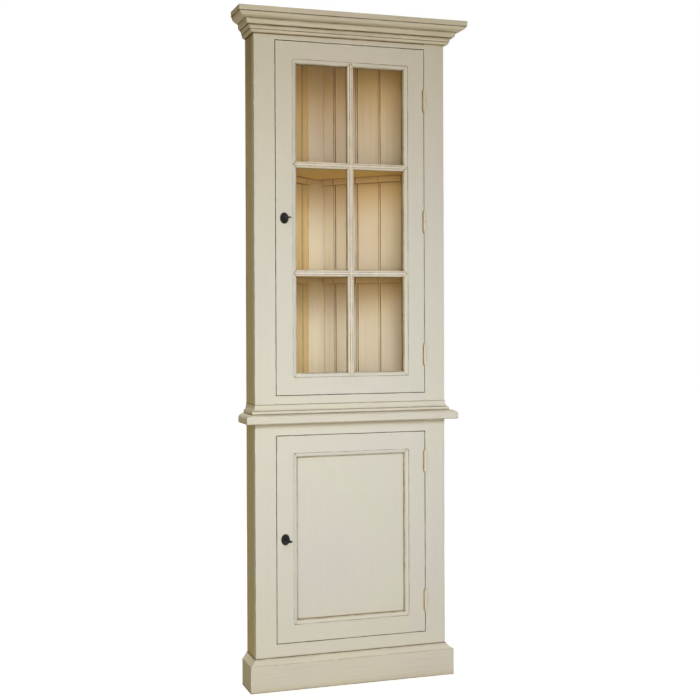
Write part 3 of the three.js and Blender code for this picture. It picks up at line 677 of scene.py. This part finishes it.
# For each set of joints: its shoulders on both sides of the middle, its rails from and to, and its body.
FILLED = {
    "frame": (260.0, ((103.5, 146.5), (824.5, 864.7), (925.6, 953.5), (2109.0, 2126.7)), "cabinet"),
    "upper": (201.0, ((955.5, 1012.5), (2050.0, 2107.0)), "upper_door"),
    "lower": (201.0, ((148.5, 205.5), (765.5, 822.5)), "lower_door"),
}


def fillers(shoulder, heights):
    """Paint that stands in the hair joints between rails and stiles, flush with the face."""

    def build(bm):
        for low, high in heights:
            for side in (-1, 1):
                ends = sorted((side * (shoulder - SEAT), side * shoulder))
                add_box(bm, (ends[0], FILL_BACK, low), (ends[1], FILL_DEPTH, high))

    return build


for part, (shoulder, heights, body) in FILLED.items():
    add_piece("joint_paint_" + part, fillers(shoulder, heights), body, "filler", False)

HEAD_SIDES = 12
HEAD_RINGS = ((1.0, 0.0), (0.97, 0.35), (0.78, 0.75), (0.42, 0.96))  # shares of the radius and of the height
SLOT_LIP = 0.06
SLOT_FLOOR = 0.45
SLOT_LONG, SLOT_WIDE = 0.34, 0.11
CROWN_LONG, CROWN_WIDE = 0.30, 0.10


def add_head(bm, centre, across, up, radius, height, slot_turn=None):
    """A low domed head on a surface that holds across and up, with a slot where slot_turn is given."""
    out = across.cross(up)
    sides = []
    for share, rise in HEAD_RINGS:
        ring = []
        for k in range(HEAD_SIDES):
            turn = 2 * math.pi * k / HEAD_SIDES
            spoke = across * math.cos(turn) + up * math.sin(turn)
            ring.append(bm.verts.new(centre + spoke * radius * share + out * height * rise))
        sides.append(ring)
    foot = [bm.verts.new(vertex.co - out * SEAT * MM) for vertex in sides[0]]
    sides.insert(0, foot)
    for low, high in zip(sides, sides[1:]):
        for k in range(HEAD_SIDES):
            n = (k + 1) % HEAD_SIDES
            bm.faces.new((low[k], low[n], high[n], high[k]))
    bm.faces.new(list(reversed(foot)))
    crown = bm.faces.new(sides[-1])
    if slot_turn is None:
        return
    # The slot is the crown drawn in, squared and sunk.
    along = across * math.cos(slot_turn) + up * math.sin(slot_turn)
    aside = out.cross(along)
    bmesh.ops.inset_individual(bm, faces=[crown], thickness=radius * SLOT_LIP)
    long, wide, floor = radius * SLOT_LONG, radius * SLOT_WIDE, centre + out * height * SLOT_FLOOR
    for vertex in crown.verts:
        spot = vertex.co - centre
        a = max(-1.0, min(1.0, spot.dot(along) / (radius * CROWN_LONG)))
        b = max(-1.0, min(1.0, spot.dot(aside) / (radius * CROWN_WIDE)))
        vertex.co = floor + along * long * a + aside * wide * b


X_AXIS, Z_AXIS = Vector((1, 0, 0)), Vector((0, 0, 1))


def heads(places, radius, height, across=X_AXIS, slotted=True):
    """Heads at places (x, y, z in millimetres), each slot turned its own way."""

    def build(bm):
        for k, place in enumerate(places):
            turn = (0.4 + 2.3 * k) % math.pi if slotted else None
            add_head(bm, at(*place), across, Z_AXIS, radius * MM, height * MM, turn)

    return build


LOCK_X, CASE_BACK, PLATE_FRONT = -229.5, 42.3, -3.64
LOCK_HEIGHTS = {"upper": 1531.25, "lower": 485.5}
CASE_CORNERS = ((-19, -17), (-19, 17), (18, -17), (18, 17))
SCREW_RADIUS, SCREW_RISE = 3.1, 1.3
PIN_RADIUS, PIN_RISE, PIN_SEAT, PIN_ASIDE = 1.5, 0.8, 0.1, 14.2

for door, axis_z in LOCK_HEIGHTS.items():
    body = door + "_door"
    corners = [(LOCK_X + x, CASE_BACK, axis_z + z) for x, z in CASE_CORNERS]
    screws = heads(corners, SCREW_RADIUS, SCREW_RISE, -X_AXIS)
    add_piece(door + "_lock_screws", screws, body, "iron")
    ends = [(LOCK_X, PLATE_FRONT + PIN_SEAT, axis_z + z) for z in (-PIN_ASIDE, PIN_ASIDE)]
    pins = heads(ends, PIN_RADIUS, PIN_RISE, slotted=False)
    add_piece(door + "_escutcheon_pins", pins, body, "iron")

BOARDS = 5
OUTER_APEX = 446.0
NAIL_ROWS = (131.0, 431.5, 941.0, 1357.5, 1712.4, 2190.0)
NAIL_RADIUS, NAIL_HEIGHT, NAIL_ASIDE, NAIL_DRIFT = 2.6, 0.5, 24.0, 2.4
LAST_BOARD_SHIFT = -10.0  # moves the nails of the last board in from its end


def nail_places(side):
    """Two nails in each board at each row, a little out of line."""
    for board in range(BOARDS):
        for aside in (-NAIL_ASIDE, NAIL_ASIDE):
            along = BACK_THICKNESS / MM + BOARD_PITCH / MM * (board + 0.5) + aside
            if board == BOARDS - 1:
                along += LAST_BOARD_SHIFT
            offset = along * math.sqrt(0.5)
            for row, z in enumerate(NAIL_ROWS):
                drift = NAIL_DRIFT * math.sin(3.1 * board + 1.7 * row + aside + side)
                yield side * offset, OUTER_APEX - offset, z + drift


for side, word in ((-1, "left"), (1, "right")):
    across = Vector((-1, side, 0)).normalized()
    nails = heads(list(nail_places(side)), NAIL_RADIUS, NAIL_HEIGHT, across, False)
    add_piece("back_nails_" + word, nails, "cabinet", "iron")

# ---------------------------------------------------------------- floor, backdrop and light


def seen_directly(g):
    """1 where a thing is seen, straight, in gloss or through glass, and 0 where it only lights others."""
    path = g.add("LightPath").outputs
    seen = g.math("MAXIMUM", path["Is Camera Ray"], path["Is Glossy Ray"])
    seen = g.math("MAXIMUM", seen, path["Is Transmission Ray"])
    return g.times(seen, g.math("LESS_THAN", path["Diffuse Depth"], 0.5))


AMBIENT = (0.12, 0.095, 0.06)
PAPER = (0.34, 0.33, 0.30)


def make_world():
    world = bpy.data.worlds.new("world")
    world.use_nodes = True
    g = Graph(world.node_tree)
    ambient = g.add("Background", {"Color": AMBIENT, "Strength": 1.0})
    white = g.add("Background", {"Color": (1, 1, 1), "Strength": 1.0})
    both = g.blend(seen_directly(g), ambient, white)
    out = g.add("OutputWorld")
    g.tree.links.new(both.outputs[0], out.inputs["Surface"])
    bpy.context.scene.world = world


FLOOR_REACH = 12.0
FLOOR_DROP = -0.0005
FLOOR_GLOW = (0.5, 2.4, 0.82, 1.0)  # from the first distance to the second, from strength to strength


def make_floor():
    """Pale paper, whiter away from the cupboard, with the shadow left in it."""
    mesh = bpy.data.meshes.new("floor")
    signs = ((-1, -1), (1, -1), (1, 1), (-1, 1))
    corners = [(a * FLOOR_REACH, b * FLOOR_REACH, FLOOR_DROP) for a, b in signs]
    mesh.from_pydata(corners, [], [(0, 1, 2, 3)])
    floor = bpy.data.objects.new("floor", mesh)
    bpy.context.scene.collection.objects.link(floor)
    made, g = new_material("floor_white")
    paper = g.add("BsdfDiffuse", {"Color": PAPER, "Roughness": 0.0})
    coords = g.add("TexCoord").outputs["Object"]
    away = g.add("VectorMath", {0: coords}, operation="LENGTH").outputs["Value"]
    glow = g.add("Emission", {"Color": (1, 1, 1), "Strength": g.ramp(away, *FLOOR_GLOW)})
    white = g.add("AddShader")
    g.tree.links.new(paper.outputs[0], white.inputs[0])
    g.tree.links.new(glow.outputs[0], white.inputs[1])
    g.finish(g.blend(seen_directly(g), paper, white))
    mesh.materials.append(made)


# Name, place, aim, width, height, watts, colour, spread in degrees.
LAMPS = (
    ("tall_key", (-0.55, -3.0, 1.6), (0.0, -0.2, 0.7), 1.1, 2.2, 23.0, (0.846, 0.871, 1.0), 120),
    ("upper_key", (-0.55, -3.0, 1.9), (0.0, -0.2, 0.4), 0.9, 0.9, 5.5, (0.858, 0.886, 1.0), 90),
    ("low_fill", (0.35, -2.8, 0.36), (0.0, -0.2, 0.9), 1.2, 0.62, 5.7, (0.864, 0.892, 1.0), 130),
    ("left_fill", (-2.6, -2.2, 1.1), (-0.3, -0.1, 1.0), 1.0, 1.4, 4.46, (1.0, 0.783, 0.118), 90),
    ("right_fill", (3.0, 0.25, 1.3), (0.0, 0.1, 1.1), 1.4, 1.6, 16.0, (1.0, 0.97, 0.9), 120),
    ("top_fill", (0.0, 0.6, 4.2), (0.0, 0.12, 2.2), 1.4, 1.4, 14.0, (1.0, 0.98, 0.95), 90),
    ("back_fill", (0.0, 3.4, 1.6), (0.0, 0.1, 1.1), 1.6, 1.6, 34.0, (1.0, 0.98, 0.94), 120),
)


def make_lamp(name, place, aim, width, height, power, colour, spread):
    """A soft rectangular lamp that shows in no gloss."""
    data = bpy.data.lights.new(name, "AREA")
    data.shape = "RECTANGLE"
    data.size = width
    data.size_y = height
    data.energy = power
    data.color = colour
    data.spread = math.radians(spread)
    lamp = bpy.data.objects.new(name, data)
    bpy.context.scene.collection.objects.link(lamp)
    lamp.location = place
    lamp.rotation_euler = (Vector(aim) - Vector(place)).to_track_quat("-Z", "Y").to_euler()
    lamp.visible_glossy = False


make_world()
make_floor()
for lamp in LAMPS:
    make_lamp(*lamp)
